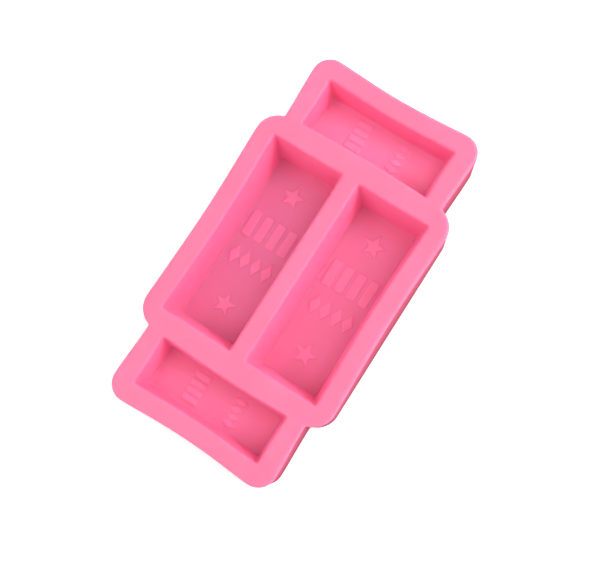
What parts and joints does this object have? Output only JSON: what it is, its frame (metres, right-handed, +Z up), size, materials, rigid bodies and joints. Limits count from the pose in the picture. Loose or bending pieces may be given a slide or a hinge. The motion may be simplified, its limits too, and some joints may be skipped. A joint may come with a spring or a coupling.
{
  "type": "soap bar mould",
  "caption": "Shallow open-topped soft mould: long bar-shaped wells side by side in a wide middle block, and a smaller well across each narrower end block.",
  "frame": {"origin": "middle of the flat underside", "axes": "+X across the mould, +Y along its length, +Z up out of the wells"},
  "size_m": [0.051, 0.093, 0.015],
  "materials": {
    "silicone": "satin, soft platinum-cured silicone",
    "silicone_motif": "satin, the same silicone a little lighter where it is raised"
  },
  "bodies": {
    "root": {"mould_body": "silicone", "left_well_rear_star": "silicone_motif", "left_well_front_star": "silicone_motif", "left_well_bar_row": "silicone_motif", "left_well_diamond_row": "silicone_motif", "right_well_rear_star": "silicone_motif", "right_well_front_star": "silicone_motif", "right_well_bar_row": "silicone_motif", "right_well_diamond_row": "silicone_motif", "rear_well_bar_row": "silicone_motif", "rear_well_diamond_row": "silicone_motif", "front_well_bar_row": "silicone_motif", "front_well_diamond_row": "silicone_motif"}
  },
  "joints": []
}
